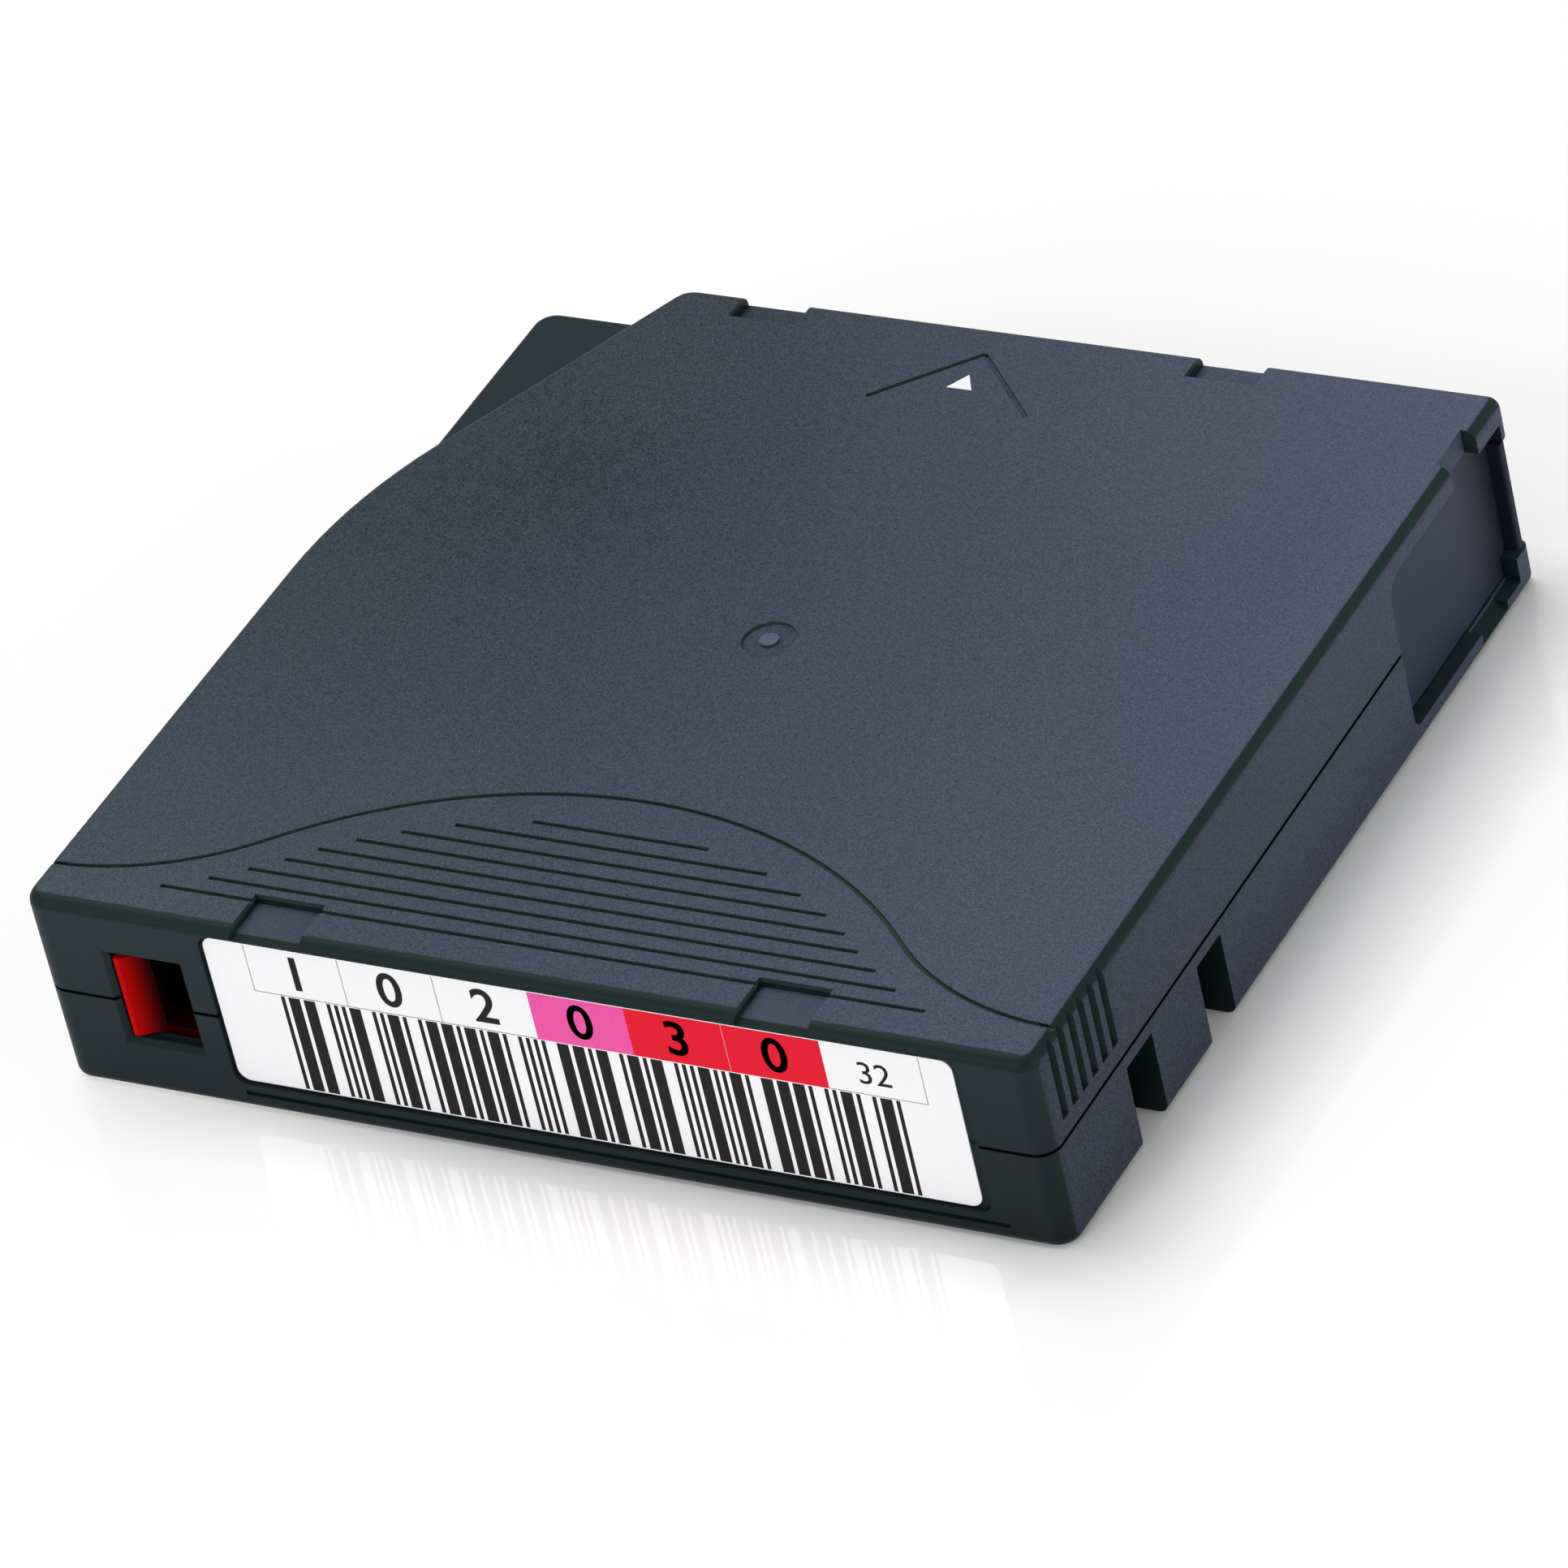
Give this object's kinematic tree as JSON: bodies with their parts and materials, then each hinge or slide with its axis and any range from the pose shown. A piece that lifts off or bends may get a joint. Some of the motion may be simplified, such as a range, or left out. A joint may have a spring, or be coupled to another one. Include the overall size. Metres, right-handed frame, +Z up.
{
  "type": "data tape cartridge",
  "caption": "Flat square cartridge of half-inch data tape: two-part case with a label in front, a sliding side door, a red write-protect switch and a flanged reel inside.",
  "frame": {"origin": "centre of the bottom of the case, on the surface it lies on", "axes": "+X to the right seen from the label end, +Y from the label end towards the end that enters the drive, +Z up through the thickness"},
  "size_m": [0.1054, 0.102, 0.0215],
  "materials": {
    "case_top": "fine matte grain, blue-grey",
    "case_bottom": "fine matte grain, dark green-grey",
    "screw_steel": "dark zinc",
    "reel_plastic": "smooth moulded",
    "drive_steel": "turned steel",
    "tape_film": "wound film, satin",
    "leader_film": "satin film",
    "pin_steel": "ground steel",
    "clip_plastic": "smooth moulded",
    "spring_steel": "drawn wire",
    "release_plastic": "smooth moulded",
    "brake_plastic": "smooth moulded",
    "door_plastic": "satin moulded, near black",
    "switch_plastic": "satin red",
    "memory_board": "coated board",
    "label_film": "smooth white film"
  },
  "bodies": {
    "case": {"bottom_shell": "case_bottom", "top_shell": "case_top", "case_screws": "screw_steel", "leader_pin": "pin_steel", "pin_clip": "clip_plastic", "leader_tape": "leader_film", "pin_spring_lower": "spring_steel", "pin_spring_upper": "spring_steel", "cartridge_memory": "memory_board", "barcode_label": "label_film", "brake_spring": "spring_steel", "door_spring": "spring_steel"},
    "reel": {"reel_hub": "reel_plastic", "upper_flange": "reel_plastic", "drive_plate": "drive_steel", "tape_pack": "tape_film"},
    "release": {"release_plate": "release_plastic"},
    "brake": {"brake_button": "brake_plastic"},
    "door": {"door": "door_plastic"},
    "switch": {"write_protect_switch": "switch_plastic"}
  },
  "joints": [
    {"name": "reel_spin", "type": "hinge", "parent": "case", "child": "reel", "pos_m": [0, 0.0005, 0], "axis": [0, 0, 1], "continuous": true},
    {"name": "release_lift", "type": "slide", "parent": "reel", "child": "release", "axis": [0, 0, 1], "range_m": [0, 0.0015]},
    {"name": "brake_lift", "type": "slide", "parent": "case", "child": "brake", "axis": [0, 0, 1], "range_m": [0, 0.0015], "stiffness_N_per_m": 1000, "springref_m": -0.006, "deforming": ["brake_spring"]},
    {"name": "door_slide", "type": "slide", "parent": "case", "child": "door", "axis": [0, -1, 0], "range_m": [0, 0.024], "stiffness_N_per_m": 20, "springref_m": -0.015, "deforming": ["door_spring"]},
    {"name": "write_protect", "type": "slide", "parent": "case", "child": "switch", "axis": [1, 0, 0], "range_m": [0, 0.002]}
  ],
  "couplings": [
    {"joint": "release_lift", "follows": "brake_lift", "ratio": 1}
  ]
}
